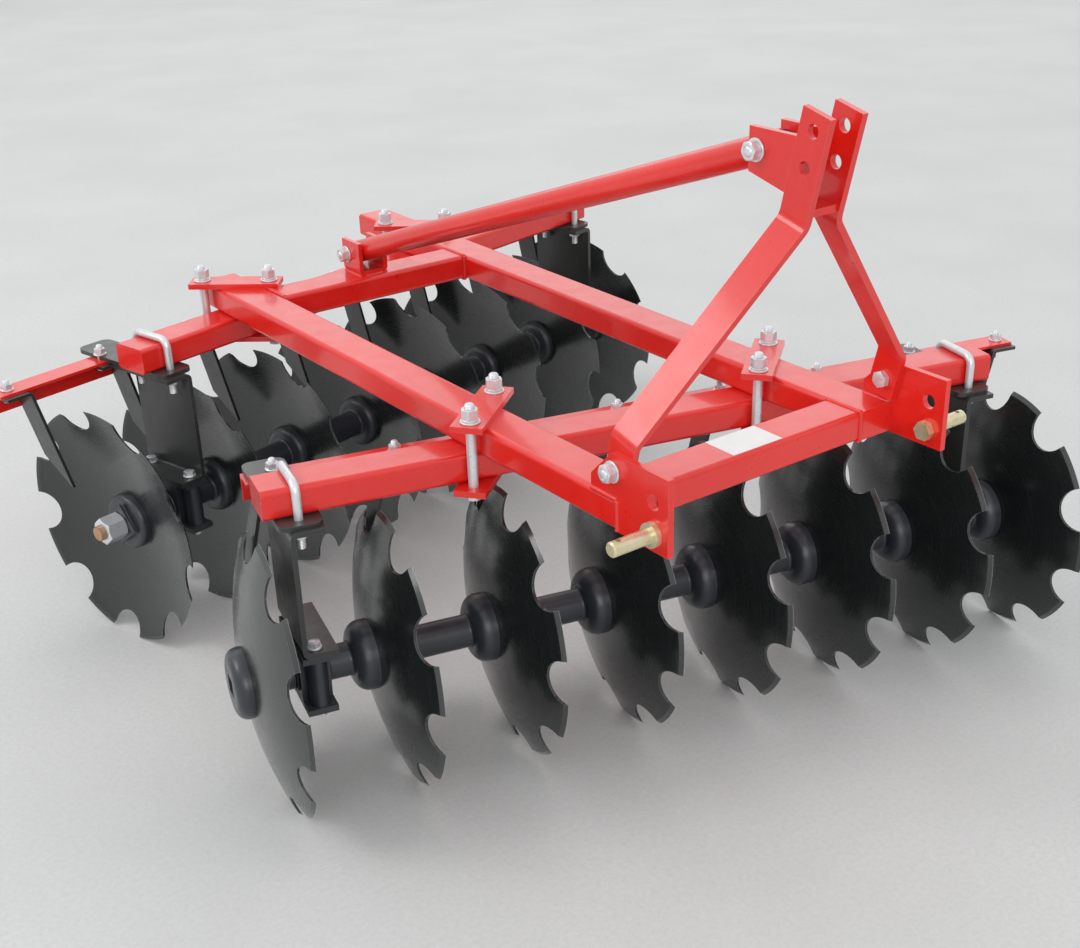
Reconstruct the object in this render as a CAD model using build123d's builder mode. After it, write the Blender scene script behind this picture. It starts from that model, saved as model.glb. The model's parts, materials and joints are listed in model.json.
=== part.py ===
# Offset disc harrow for a three-point linkage: two gangs of notched discs
# under a welded tube frame, with scrapers, hangers and an A-shaped mast.
# Millimetres. x runs to the machine's left, y to its rear, z up from the floor.
# The origin is on the floor, under the middle of the machine.

from build123d import *
from collections import namedtuple
from math import atan2, cos, degrees, hypot, radians, sin, sqrt, tan
import os

os.makedirs("parts", exist_ok=True)

# Place of the frame's centre plane and front face in the part's own frame
frame_x = -77.6
frame_y = -779.0

# Square-edged tube used for rails, cross tubes and gang beams
tube_width = 75.0
tube_height = 48.0
tube_wall = 5.0
tube_corner = 8.0
cap_thickness = 4.0
cap_gap = 0.2

# Discs
disc_diameter = 460.0
disc_thickness = 4.0
disc_count = 8
disc_spacing = 200.0
dish_depth = 47.0
disc_seat_diameter = 118.0
disc_bevel = 6.0
notch_count = 9
notch_radius = 39.0
notch_inset = 2.0
# Each disc's lead of its first tooth, and the quarter turns its square hole
# was put on the axle with, from the disc at the machine's right
tooth_leads = {"front": 11.0, "rear": 17.0}
quarter_turns = {"front": (0, 1, 2, 0, 0, 0, 0, 0), "rear": (0, 3, 0, 1, 2, 2, 0, 3)}

# Gangs: middle of each axle from the frame's centre plane and front face
gang_angle = 14.0
front_gang_x = 40.0
front_gang_y = 304.0
rear_gang_x = 137.0
rear_gang_y = 1302.0

# Axles, spools and what holds them
axle_square = 28.0
square_gap = 0.4
spool_tube_diameter = 55.0
spool_bell_diameter = 115.0
spool_bell_depth = 34.0
spool_foot_diameter = 108.0
spool_foot_depth = 18.0
spool_bell_round = 24.0
spool_foot_round = 15.0
spool_neck_round = 5.0
journal_diameter = 50.0
running_gap = 0.08
shoulder_gap = 5.0
end_bell_depth = 24.0
end_bell_round = 19.0
end_bell_recess = 31.0
end_bell_recess_depth = 6.0
end_washer_depth = 14.0
end_washer_round = 9.0
lock_plate_side = 60.0
lock_plate_thickness = 5.0
axle_nut_flats = 46.0
axle_nut_length = 40.0
thread_diameter = 28.0
thread_out = 10.0
stack_gap = 0.3

# Beams over the gangs
beam_length = 1300.0
beam_above_axle = 282.0

# Frame
frame_width = 557.0
rear_cross_y = 1084.0
rail_past_beam_right = 74.0
rail_past_beam_left = 175.0

# Clamps where rails and beams cross
clamp_length = 172.0
clamp_width = 51.0
clamp_thickness = 10.0
clamp_bolt_x = 50.0
clamp_bolt_y = 40.0
clamp_bolt_diameter = 16.0
clamp_bolt_out = 6.0

# Hitch plates and lower link pins
hitch_plate_thickness = 10.0
hitch_front_y = -105.0
hitch_rear_y = 57.0
hitch_bevel_y = 12.0
hitch_height = 114.0
hitch_rear_height = 70.0
link_pin_diameter = 22.0
link_pin_length = 73.0
link_pin_y = -75.0
link_pin_height = 26.0
spare_hole_rise = 46.0
pin_collar_diameter = 36.0
pin_collar_thickness = 8.0
pin_nut_flats = 27.0
pin_nut_thickness = 12.0
linch_hole_diameter = 8.0
linch_hole_from_tip = 13.0
pin_tip_chamfer = 2.0

# Mast
mast_bar_width = 50.0
mast_bar_thickness = 10.0
mast_lean = 13.4
mast_foot_y = 10.0
mast_foot_height = 39.0
mast_foot_below_bolt = 27.0
mast_foot_bend = 47.0
mast_top_bend = 315.0
mast_top = 459.0
mast_gap = 48.0
mast_bolt_diameter = 16.0
top_link_hole_diameter = 19.5
top_link_hole_drop = 25.0
top_link_hole_spacing = 50.0
mast_spacer_rise = 322.0
mast_spacer_depth = 44.0
mast_spacer_thickness = 10.0

# Brace from the mast to the rear cross tube
brace_diameter = 42.4
brace_wall = 3.2
brace_past_bolt = 24.0
brace_bolt_diameter = 16.0
lug_length = 72.0
lug_height = 60.0
lug_slope = 16.0
lug_bolt_inset = 14.0
lug_bolt_height = 434.0
clevis_gap = 46.0
clevis_thickness = 8.0
clevis_height = 65.0
clevis_length = 62.0
clevis_bolt_height = 36.0
clevis_bolt_inset = 15.0
clevis_bend = 12.0

# Hangers that carry the bearings under the beams
hanger_place = 600.0
hanger_width = 160.0
hanger_rear = 84.0
hanger_thickness = 8.0
hanger_web_back = 22.0
hanger_lip = 33.0
hanger_bend = 12.0
hanger_foot_above_axle = 60.0

# Bearings
bearing_length = 48.0
bearing_half_width = 75.0
bearing_barrel_radius = 42.0
bearing_flange_thickness = 10.0
bearing_bolt_diameter = 12.0
bearing_bolt_offset = 57.0
bearing_boss_radius = 16.0

# U-bolts that hold arm and hanger to the beam
u_bolt_diameter = 14.0
u_bolt_offset = 46.0
u_bolt_past_nut = 20.0
u_bolt_gap = 0.2

# Scraper arms and bars. The two gangs' bars differ in place and reach.
arm_width = 69.0
arm_thickness = 8.0
arm_front = 68.0
arm_rear = 190.0
arm_corner = 16.0
bar_leg = 45.0
bar_thickness = 5.0
bar_rears = {"front": 169.0, "rear": 147.0}
bar_long_reaches = {"front": 829.0, "rear": 857.0}
bar_short_reach = 640.0

# Scrapers: a tab under the bar, a bend and a blade cut aslant at its tip.
# Places run along the gang from the hub, toward the disc's hollow side.
scraper_width = 50.0
scraper_thickness = 6.0
scraper_bar_gap = 2.0
scraper_bend_places = {"front": 80.0, "rear": 101.0}
scraper_tab_length = 50.0
scraper_bolt_from_bend = 28.0
scraper_lean = 13.8
scraper_bend_radius = 9.0
scraper_tip_above_axle = 61.0
scraper_tip_slant = 62.0
scraper_bolt_diameter = 12.0

# Nuts, heads and washers, by thread diameter: across flats and thickness
nut_flats_factor = 1.5
nut_height_factor = 0.8
hole_gap = 0.5
washer_factor = 1.3
washer_thickness = 3.0
thread_end_factor = 0.4

# Worked-out sizes
disc_radius = disc_diameter / 2
axle_height = disc_radius
seat_radius = disc_seat_diameter / 2
beam_bottom = axle_height + beam_above_axle
beam_top = beam_bottom + tube_height
rail_bottom = beam_top
rail_top = rail_bottom + tube_height
rail_x = (frame_width - tube_width) / 2
frame_inner = frame_width / 2 - tube_width
arm_bottom = beam_bottom - arm_thickness
mast_tilt = radians(mast_lean)

# The dish is part of a sphere whose centre lies on the axle
dish_centre = (
    (dish_depth**2 + disc_radius**2 - disc_thickness**2 - seat_radius**2)
    / (2 * (dish_depth - disc_thickness))
)
dish_face_radius = hypot(dish_centre - disc_thickness, seat_radius)


def dish_face(radius):
    """Hollow face's distance from the hub's back, at a radius."""
    return dish_centre - sqrt(dish_face_radius**2 - radius**2)


def dish_back(radius):
    """Rounded back's distance from the hub's back, at a radius."""
    return dish_centre - sqrt((dish_face_radius + disc_thickness) ** 2 - radius**2)


# A gang's plane has x along the axle, y to the rear and z up from the axle.
# facing is the way the discs' hollow sides look along the gang.
Gang = namedtuple("Gang", "name plane angle facing")


def gang_from(name, x, y, angle, facing):
    turn = radians(angle)
    plane = Plane(
        origin=(frame_x + x, frame_y + y, axle_height),
        x_dir=(cos(turn), -sin(turn), 0),
        z_dir=(0, 0, 1),
    )
    return Gang(name, plane, angle, facing)


front_gang = gang_from("front", front_gang_x, front_gang_y, gang_angle, 1)
rear_gang = gang_from("rear", rear_gang_x, rear_gang_y, -gang_angle, -1)
gangs = [front_gang, rear_gang]


def across(gang, place):
    """Plane square to the gang: x to the rear, y up from the axle."""
    origin = gang.plane.from_local_coords((place, 0, 0))
    return Plane(origin=origin, x_dir=gang.plane.y_dir, z_dir=gang.plane.x_dir)


def along(gang, behind=0.0):
    """Upright plane along the gang, facing forward: x along it, y up."""
    origin = gang.plane.from_local_coords((0, behind, 0))
    return Plane(origin=origin, x_dir=gang.plane.x_dir, z_dir=-gang.plane.y_dir)


def level(gang, height):
    """Level plane at a height over the floor: x along the gang, y to the rear."""
    return gang.plane.offset(height - axle_height)


def gang_axis(gang):
    return Axis(gang.plane.origin, gang.plane.x_dir)


def disc_places():
    middle = (disc_count - 1) / 2
    return [(number - middle) * disc_spacing for number in range(disc_count)]


def end_disc(gang, toward_hollow):
    """Hub place of the gang's last disc, on its hollow or its rounded side."""
    side = gang.facing if toward_hollow else -gang.facing
    return side * (disc_count - 1) / 2 * disc_spacing


def upright(x, y, z):
    """Plane that looks along the machine: x to the left, y up."""
    return Plane(origin=(frame_x + x, frame_y + y, z), x_dir=(1, 0, 0), z_dir=(0, -1, 0))


def sideways(x, outward=1):
    """Plane on the machine's side at x, facing outward: sketched in y and z."""
    return Plane(
        origin=(frame_x + x, frame_y, 0), x_dir=(0, outward, 0), z_dir=(outward, 0, 0)
    )


def overhead(height):
    """Level plane at a height, x and y from the frame's middle and front."""
    return Plane(origin=(frame_x, frame_y, height), z_dir=(0, 0, 1))


def tube_section():
    RectangleRounded(tube_width, tube_height, tube_corner)
    RectangleRounded(
        tube_width - 2 * tube_wall,
        tube_height - 2 * tube_wall,
        tube_corner - tube_wall,
        mode=Mode.SUBTRACT,
    )


def bent_strip(points, thickness, bend):
    """Flat bar seen on edge: left of a line through points, with round bends."""
    with BuildLine() as edge_line:
        FilletPolyline(*points, radius=bend)
        offset(amount=thickness, side=Side.LEFT)
    make_face(edge_line.edges())


def hexagon(flats):
    RegularPolygon(radius=flats / 2, side_count=6, major_radius=False)


def nut_flats(diameter):
    return nut_flats_factor * diameter


def nut_height(diameter):
    return nut_height_factor * diameter


def thread_end(diameter):
    """How far a bolt's thread comes out of its nut."""
    return thread_end_factor * nut_height(diameter)


def save(piece, name):
    piece.part.label = name
    export_step(piece.part, "parts/" + name + ".step")


# Rails, one each side, each as long as its rear beam crossing needs
def beam_y(gang, x):
    """Beam centre line's distance behind the frame's front, at x."""
    behind = gang.plane.origin.Y - frame_y
    return behind - (x - (gang.plane.origin.X - frame_x)) * tan(radians(gang.angle))


Rail = namedtuple("Rail", "name x length")


def rail_from(name, x, past_beam):
    return Rail(name, x, beam_y(rear_gang, x) + past_beam)


rails = [
    rail_from("frame_rail_right", -rail_x, rail_past_beam_right),
    rail_from("frame_rail_left", rail_x, rail_past_beam_left),
]
for frame_rail in rails:
    with BuildPart() as rail:
        with BuildSketch(upright(frame_rail.x, 0, rail_bottom + tube_height / 2)):
            tube_section()
        extrude(amount=-frame_rail.length)
    save(rail, frame_rail.name)

# Cross tubes between the rails
for name, y in [("frame_cross_tube_front", 0), ("frame_cross_tube_rear", rear_cross_y)]:
    with BuildPart() as cross_tube:
        middle = (frame_x, frame_y + y + tube_width / 2, rail_bottom + tube_height / 2)
        with BuildSketch(Plane(origin=middle, x_dir=(0, 1, 0), z_dir=(1, 0, 0))):
            tube_section()
        extrude(amount=frame_inner, both=True)
    save(cross_tube, name)

# Beams over the gangs
for gang in gangs:
    with BuildPart() as beam:
        with BuildSketch(across(gang, 0)):
            with Locations((0, beam_above_axle + tube_height / 2)):
                tube_section()
        extrude(amount=beam_length / 2, both=True)
    save(beam, "gang_beam_" + gang.name)


# Plates that close the tubes' ends, flush with them
def end_plates():
    """Sketch plane at each open tube end, facing out of it."""
    planes = []
    for frame_rail in rails:
        middle_z = rail_bottom + tube_height / 2
        planes.append(upright(frame_rail.x, 0, middle_z))
        rear = (frame_x + frame_rail.x, frame_y + frame_rail.length, middle_z)
        planes.append(Plane(origin=rear, x_dir=(1, 0, 0), z_dir=(0, 1, 0)))
    for gang in gangs:
        for side in (-1, 1):
            end = gang.plane.from_local_coords(
                (side * beam_length / 2, 0, beam_above_axle + tube_height / 2)
            )
            out = gang.plane.x_dir * side
            planes.append(Plane(origin=end, x_dir=gang.plane.y_dir, z_dir=out))
    return planes


with BuildPart() as tube_end_caps:
    for plane in end_plates():
        with BuildSketch(plane):
            RectangleRounded(
                tube_width - 2 * tube_wall - 2 * cap_gap,
                tube_height - 2 * tube_wall - 2 * cap_gap,
                tube_corner - tube_wall - cap_gap,
            )
        extrude(amount=-cap_thickness)
save(tube_end_caps, "tube_end_caps")


# Clamps: an upper and a lower plate on the slant, with a bolt at each end
Crossing = namedtuple("Crossing", "x y slant")
crossings = [
    Crossing(x, beam_y(gang, x), gang.facing)
    for gang in gangs
    for x in (-rail_x, rail_x)
]


def clamp_bolt_places(crossing):
    across_x = clamp_bolt_x
    across_y = crossing.slant * clamp_bolt_y
    return [
        (crossing.x - across_x, crossing.y - across_y),
        (crossing.x + across_x, crossing.y + across_y),
    ]


def clamp_plate(crossing, height):
    slant = degrees(atan2(crossing.slant * clamp_bolt_y, clamp_bolt_x))
    with BuildSketch(overhead(height)) as plate:
        with Locations(Location((crossing.x, crossing.y, 0), (0, 0, slant))):
            Rectangle(clamp_length, clamp_width)
        with Locations(*clamp_bolt_places(crossing)):
            Circle(clamp_bolt_diameter / 2 + hole_gap, mode=Mode.SUBTRACT)
    extrude(plate.sketch, amount=clamp_thickness)


with BuildPart() as clamp_plates:
    for crossing in crossings:
        clamp_plate(crossing, rail_top)
        clamp_plate(crossing, beam_bottom - clamp_thickness)
save(clamp_plates, "clamp_plates")

clamp_nut = nut_height(clamp_bolt_diameter)
clamp_bolt_bottom = beam_bottom - clamp_thickness
clamp_bolt_seat = rail_top + clamp_thickness
clamp_bolt_top = clamp_bolt_seat + washer_thickness + 2 * clamp_nut + clamp_bolt_out
with BuildPart() as clamp_bolts:
    for crossing in crossings:
        for place in clamp_bolt_places(crossing):
            with BuildSketch(overhead(clamp_bolt_bottom - clamp_nut)):
                with Locations(place):
                    hexagon(nut_flats(clamp_bolt_diameter))
            extrude(amount=clamp_nut)
            with BuildSketch(overhead(clamp_bolt_bottom)):
                with Locations(place):
                    Circle(clamp_bolt_diameter / 2)
            extrude(amount=clamp_bolt_top - clamp_bolt_bottom)
            with BuildSketch(overhead(clamp_bolt_seat)):
                with Locations(place):
                    Circle(nut_flats(clamp_bolt_diameter) * washer_factor / 2)
            extrude(amount=washer_thickness)
            with BuildSketch(overhead(clamp_bolt_seat + washer_thickness)):
                with Locations(place):
                    hexagon(nut_flats(clamp_bolt_diameter))
            extrude(amount=2 * clamp_nut)
save(clamp_bolts, "clamp_bolts")

# Hitch plates, notched over the rails' front ends
hitch_x = frame_width / 2
link_pin_z = rail_bottom + link_pin_height
mast_foot_z = rail_top + mast_foot_height
for name, side in [("hitch_plate_right", -1), ("hitch_plate_left", 1)]:
    with BuildPart() as hitch_plate:
        with BuildSketch(sideways(side * hitch_x, side)):
            with BuildLine():
                outline = [
                    (hitch_front_y, rail_bottom),
                    (0, rail_bottom),
                    (0, rail_top),
                    (hitch_rear_y, rail_top),
                    (hitch_rear_y, rail_bottom + hitch_rear_height),
                    (hitch_bevel_y, rail_bottom + hitch_height),
                    (hitch_front_y, rail_bottom + hitch_height),
                ]
                Polyline(*[(side * y, z) for y, z in outline], close=True)
            make_face()
            with Locations((side * link_pin_y, link_pin_z)):
                Circle(link_pin_diameter / 2 + hole_gap, mode=Mode.SUBTRACT)
            with Locations((side * link_pin_y, link_pin_z + spare_hole_rise)):
                Circle(link_pin_diameter / 2 + hole_gap, mode=Mode.SUBTRACT)
            with Locations((side * mast_foot_y, mast_foot_z)):
                Circle(mast_bolt_diameter / 2 + hole_gap, mode=Mode.SUBTRACT)
        extrude(amount=-hitch_plate_thickness)
    save(hitch_plate, name)

# Lower link pins, each with a collar outside and a nut inside its plate
for name, side in [("lower_link_pin_right", -1), ("lower_link_pin_left", 1)]:
    outer_face = sideways(side * hitch_x, side)
    centre = (side * link_pin_y, link_pin_z)
    with BuildPart() as link_pin:
        with BuildSketch(outer_face.offset(-hitch_plate_thickness - pin_nut_thickness)):
            with Locations(centre):
                Circle(link_pin_diameter / 2)
        extrude(amount=hitch_plate_thickness + pin_nut_thickness + link_pin_length)
        tip = link_pin.edges().filter_by(GeomType.CIRCLE).sort_by(Axis.X, reverse=side < 0)[-1]
        chamfer(tip, length=pin_tip_chamfer)
        with BuildSketch(outer_face):
            with Locations(centre):
                Circle(pin_collar_diameter / 2)
        extrude(amount=pin_collar_thickness)
        with BuildSketch(outer_face.offset(-hitch_plate_thickness)):
            with Locations(centre):
                hexagon(pin_nut_flats)
        extrude(amount=-pin_nut_thickness)
        hole_x = side * (hitch_x + link_pin_length - linch_hole_from_tip)
        with BuildSketch(overhead(link_pin_z)):
            with Locations((hole_x, link_pin_y)):
                Circle(linch_hole_diameter / 2)
        extrude(amount=link_pin_diameter, both=True, mode=Mode.SUBTRACT)
    save(link_pin, name)

# Mast bars, sketched on a plane that leans forward through the foot bolts
mast_plane = Plane(
    origin=(frame_x, frame_y + mast_foot_y, mast_foot_z),
    x_dir=(1, 0, 0),
    z_dir=(0, -cos(mast_tilt), -sin(mast_tilt)),
)


def up_mast(rise):
    """Distance along the mast for a rise over the foot bolt."""
    return rise / cos(mast_tilt)


def mast_y(z):
    """Mast centre line's distance behind the frame's front, at a height."""
    return mast_foot_y - (z - mast_foot_z) * tan(mast_tilt)


mast_outer = mast_gap / 2 + mast_bar_thickness
foot_x = hitch_x - hitch_plate_thickness
top_holes = [
    up_mast(mast_top) - top_link_hole_drop,
    up_mast(mast_top) - top_link_hole_drop - top_link_hole_spacing,
]
for name, side in [("mast_bar_right", -1), ("mast_bar_left", 1)]:
    outer_line = [
        (side * foot_x, -up_mast(mast_foot_below_bolt)),
        (side * foot_x, up_mast(mast_foot_bend)),
        (side * mast_outer, up_mast(mast_top_bend)),
        (side * mast_outer, up_mast(mast_top)),
    ]
    if side < 0:
        outer_line.reverse()
    with BuildPart() as mast_bar:
        with BuildSketch(mast_plane):
            bent_strip(outer_line, mast_bar_thickness, 2 * mast_bar_thickness)
        extrude(amount=mast_bar_width / 2, both=True)
        for along_mast in top_holes:
            hole_centre = mast_plane.from_local_coords((0, along_mast, 0))
            with BuildSketch(Plane(origin=hole_centre, x_dir=(0, 1, 0), z_dir=(1, 0, 0))):
                Circle(top_link_hole_diameter / 2)
            extrude(amount=2 * mast_outer, both=True, mode=Mode.SUBTRACT)
        with BuildSketch(sideways(0)):
            with Locations((mast_foot_y, mast_foot_z)):
                Circle(mast_bolt_diameter / 2 + hole_gap)
        extrude(amount=2 * hitch_x, both=True, mode=Mode.SUBTRACT)
    save(mast_bar, name)

# Level spacer between the mast bars
mast_spacer_z = mast_foot_z + mast_spacer_rise
with BuildPart() as mast_spacer:
    with BuildSketch(overhead(mast_spacer_z)):
        with Locations((0, mast_y(mast_spacer_z + mast_spacer_thickness / 2))):
            Rectangle(mast_gap, mast_spacer_depth)
    extrude(amount=mast_spacer_thickness)
save(mast_spacer, "mast_spacer")


# Lugs welded behind the mast bars, which take the brace's upper bolt
def mast_rear_y(z):
    return mast_y(z) + mast_bar_width / 2 / cos(mast_tilt)


lug_bolt_z = rail_top + lug_bolt_height
lug_low = lug_bolt_z - lug_height / 2
lug_high = lug_bolt_z + lug_height / 2
lug_foot = lug_low - lug_slope
lug_rear = mast_rear_y(lug_low) + lug_length
lug_bolt_y = lug_rear - lug_bolt_inset
with BuildPart() as mast_brace_lugs:
    for side in (-1, 1):
        with BuildSketch(sideways(side * mast_outer, side)):
            with BuildLine():
                outline = [
                    (mast_rear_y(lug_foot), lug_foot),
                    (lug_rear, lug_low),
                    (lug_rear, lug_high),
                    (mast_rear_y(lug_high), lug_high),
                ]
                Polyline(*[(side * y, z) for y, z in outline], close=True)
            make_face()
            with Locations((side * lug_bolt_y, lug_bolt_z)):
                Circle(brace_bolt_diameter / 2 + hole_gap, mode=Mode.SUBTRACT)
        extrude(amount=-mast_bar_thickness)
save(mast_brace_lugs, "mast_brace_lugs")

# Clevis on the rear cross tube
clevis_rear = rear_cross_y + tube_width
clevis_bolt_y = clevis_rear - clevis_bolt_inset
clevis_bolt_z = rail_top + clevis_bolt_height
clevis_outer = clevis_gap / 2 + clevis_thickness
with BuildPart() as brace_clevis:
    with BuildSketch(upright(0, clevis_rear, rail_top)):
        outer_line = [
            (-clevis_outer, clevis_height),
            (-clevis_outer, 0),
            (clevis_outer, 0),
            (clevis_outer, clevis_height),
        ]
        bent_strip(outer_line, clevis_thickness, clevis_bend)
    extrude(amount=clevis_length)
    with BuildSketch(sideways(0)):
        with Locations((clevis_bolt_y, clevis_bolt_z)):
            Circle(brace_bolt_diameter / 2 + hole_gap)
    extrude(amount=clevis_outer, both=True, mode=Mode.SUBTRACT)
save(brace_clevis, "brace_clevis")

# Brace: a straight tube between its two bolts
brace_fall = atan2(lug_bolt_z - clevis_bolt_z, clevis_bolt_y - lug_bolt_y)
brace_length = hypot(lug_bolt_z - clevis_bolt_z, clevis_bolt_y - lug_bolt_y)
brace_start = Plane(
    origin=(frame_x, frame_y + lug_bolt_y, lug_bolt_z),
    x_dir=(1, 0, 0),
    z_dir=(0, cos(brace_fall), -sin(brace_fall)),
)
with BuildPart() as brace_tube:
    with BuildSketch(brace_start.offset(-brace_past_bolt)):
        Circle(brace_diameter / 2)
        Circle(brace_diameter / 2 - brace_wall, mode=Mode.SUBTRACT)
    extrude(amount=brace_length + 2 * brace_past_bolt)
    for y, z in [(lug_bolt_y, lug_bolt_z), (clevis_bolt_y, clevis_bolt_z)]:
        with BuildSketch(sideways(0)):
            with Locations((y, z)):
                Circle(brace_bolt_diameter / 2 + hole_gap)
        extrude(amount=brace_diameter, both=True, mode=Mode.SUBTRACT)
save(brace_tube, "brace_tube")


# Cross bolts of the mast and the brace
def cross_bolt(x_from, x_to, y, z, diameter):
    """Bolt along x with its head at x_from and its nut at x_to."""
    way = 1 if x_to > x_from else -1
    head = nut_height(diameter)
    reach = abs(x_to - x_from)
    start = sideways(x_from, way)
    centre = (way * y, z)
    for place in (-head, reach):
        with BuildSketch(start.offset(place)) as outline:
            with Locations(centre):
                hexagon(nut_flats(diameter))
        extrude(outline.sketch, amount=head)
    with BuildSketch(start) as shank:
        with Locations(centre):
            Circle(diameter / 2)
    extrude(shank.sketch, amount=reach + head + thread_end(diameter))


with BuildPart() as mast_bolts:
    for side in (-1, 1):
        inner = side * (foot_x - mast_bar_thickness)
        cross_bolt(inner, side * hitch_x, mast_foot_y, mast_foot_z, mast_bolt_diameter)
    cross_bolt(mast_outer, -mast_outer, lug_bolt_y, lug_bolt_z, brace_bolt_diameter)
    cross_bolt(
        clevis_outer, -clevis_outer, clevis_bolt_y, clevis_bolt_z, brace_bolt_diameter
    )
save(mast_bolts, "mast_bolts")

# Hangers, bearings, arms, scrapers and gangs, the same for front and rear
hanger_places = (-hanger_place, hanger_place)
hanger_top = arm_bottom - axle_height
hanger_foot = hanger_foot_above_axle
hole_sides = (-1, 1)


def upright_bolt(gang, place, behind, z_low, z_high, diameter):
    """Bolt beside a gang's axle, with a hexagon at each end of its grip."""
    nut = nut_height(diameter)
    for z in (z_low - nut, z_high):
        with BuildSketch(gang.plane.offset(z)) as outline:
            with Locations((place, behind)):
                hexagon(nut_flats(diameter))
        extrude(outline.sketch, amount=nut)
    shank_low = z_low - nut - thread_end(diameter)
    with BuildSketch(gang.plane.offset(shank_low)) as shank:
        with Locations((place, behind)):
            Circle(diameter / 2)
    extrude(shank.sketch, amount=z_high + nut - shank_low)


def make_hangers(gang):
    with BuildPart() as hangers:
        for place in hanger_places:
            web = place - gang.facing * hanger_web_back
            lip = place + gang.facing * hanger_lip
            outer_line = [
                (lip, hanger_top),
                (web, hanger_top),
                (web, hanger_foot),
                (lip, hanger_foot),
            ]
            if gang.facing < 0:
                outer_line.reverse()
            with BuildSketch(along(gang, hanger_rear)):
                bent_strip(outer_line, hanger_thickness, hanger_bend)
            extrude(amount=hanger_width)
            with BuildSketch(gang.plane.offset(hanger_foot)):
                for side in hole_sides:
                    with Locations((place, side * bearing_bolt_offset)):
                        Circle(bearing_bolt_diameter / 2 + hole_gap)
            extrude(amount=hanger_thickness, mode=Mode.SUBTRACT)
            with BuildSketch(gang.plane.offset(hanger_top)):
                for side in hole_sides:
                    with Locations((place, side * u_bolt_offset)):
                        Circle(u_bolt_diameter / 2 + hole_gap)
            extrude(amount=-hanger_thickness, mode=Mode.SUBTRACT)
    save(hangers, "hangers_" + gang.name)


def make_bearings(gang):
    barrel = bearing_barrel_radius
    with BuildPart() as bearings:
        for place in hanger_places:
            with BuildSketch(across(gang, place)):
                Circle(barrel)
                with Locations((0, (hanger_foot - barrel) / 2)):
                    Rectangle(2 * barrel, hanger_foot + barrel)
                with Locations((0, hanger_foot - bearing_flange_thickness / 2)):
                    Rectangle(2 * bearing_half_width, bearing_flange_thickness)
                with Locations((0, -barrel + bearing_flange_thickness / 2)):
                    Rectangle(2 * bearing_half_width, bearing_flange_thickness)
                Circle(journal_diameter / 2 + running_gap, mode=Mode.SUBTRACT)
            extrude(amount=bearing_length / 2, both=True)
            with BuildSketch(gang.plane.offset(-barrel)):
                for side in hole_sides:
                    with Locations((place, side * bearing_bolt_offset)):
                        Circle(bearing_boss_radius)
            extrude(amount=hanger_foot + barrel)
            with BuildSketch(gang.plane.offset(-barrel)):
                for side in hole_sides:
                    with Locations((place, side * bearing_bolt_offset)):
                        Circle(bearing_bolt_diameter / 2 + hole_gap)
            extrude(amount=hanger_foot + barrel, mode=Mode.SUBTRACT)
    save(bearings, "bearings_" + gang.name)


def scraper_bolt(gang):
    """Scraper bolt's place from its hub and behind the axle, in a gang."""
    from_hub = scraper_bend_places[gang.name] + scraper_bolt_from_bend
    behind = bar_rears[gang.name] - bar_leg / 2
    return gang.facing * from_hub, behind


def make_scraper_arms(gang):
    bolt_from_hub, bolt_behind = scraper_bolt(gang)
    bolt_side = bolt_from_hub - gang.facing * disc_spacing / 2
    with BuildPart() as arms:
        for place in hanger_places:
            with BuildSketch(level(gang, arm_bottom)):
                with Locations((place, (arm_rear - arm_front) / 2)):
                    RectangleRounded(arm_width, arm_front + arm_rear, arm_corner)
                for side in hole_sides:
                    with Locations((place, side * u_bolt_offset)):
                        Circle(u_bolt_diameter / 2 + hole_gap, mode=Mode.SUBTRACT)
                with Locations((place + bolt_side, bolt_behind)):
                    Circle(scraper_bolt_diameter / 2 + hole_gap, mode=Mode.SUBTRACT)
            extrude(amount=arm_thickness)
    save(arms, "scraper_arms_" + gang.name)


def make_scraper_bar(gang):
    start = -gang.facing * bar_short_reach
    bar_top = arm_bottom - axle_height
    bar_rear = bar_rears[gang.name]
    bolt_from_hub, bolt_behind = scraper_bolt(gang)
    with BuildPart() as bar:
        with BuildSketch(across(gang, start)):
            with BuildLine():
                Polyline(
                    (bar_rear, bar_top),
                    (bar_rear, bar_top - bar_leg),
                    (bar_rear - bar_thickness, bar_top - bar_leg),
                    (bar_rear - bar_thickness, bar_top - bar_thickness),
                    (bar_rear - bar_leg, bar_top - bar_thickness),
                    (bar_rear - bar_leg, bar_top),
                    close=True,
                )
            make_face()
        extrude(amount=gang.facing * (bar_short_reach + bar_long_reaches[gang.name]))
        with BuildSketch(gang.plane.offset(bar_top)):
            for hub in disc_places():
                with Locations((hub + bolt_from_hub, bolt_behind)):
                    Circle(scraper_bolt_diameter / 2 + hole_gap)
        extrude(amount=-bar_thickness, mode=Mode.SUBTRACT)
    save(bar, "scraper_bar_" + gang.name)


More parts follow.
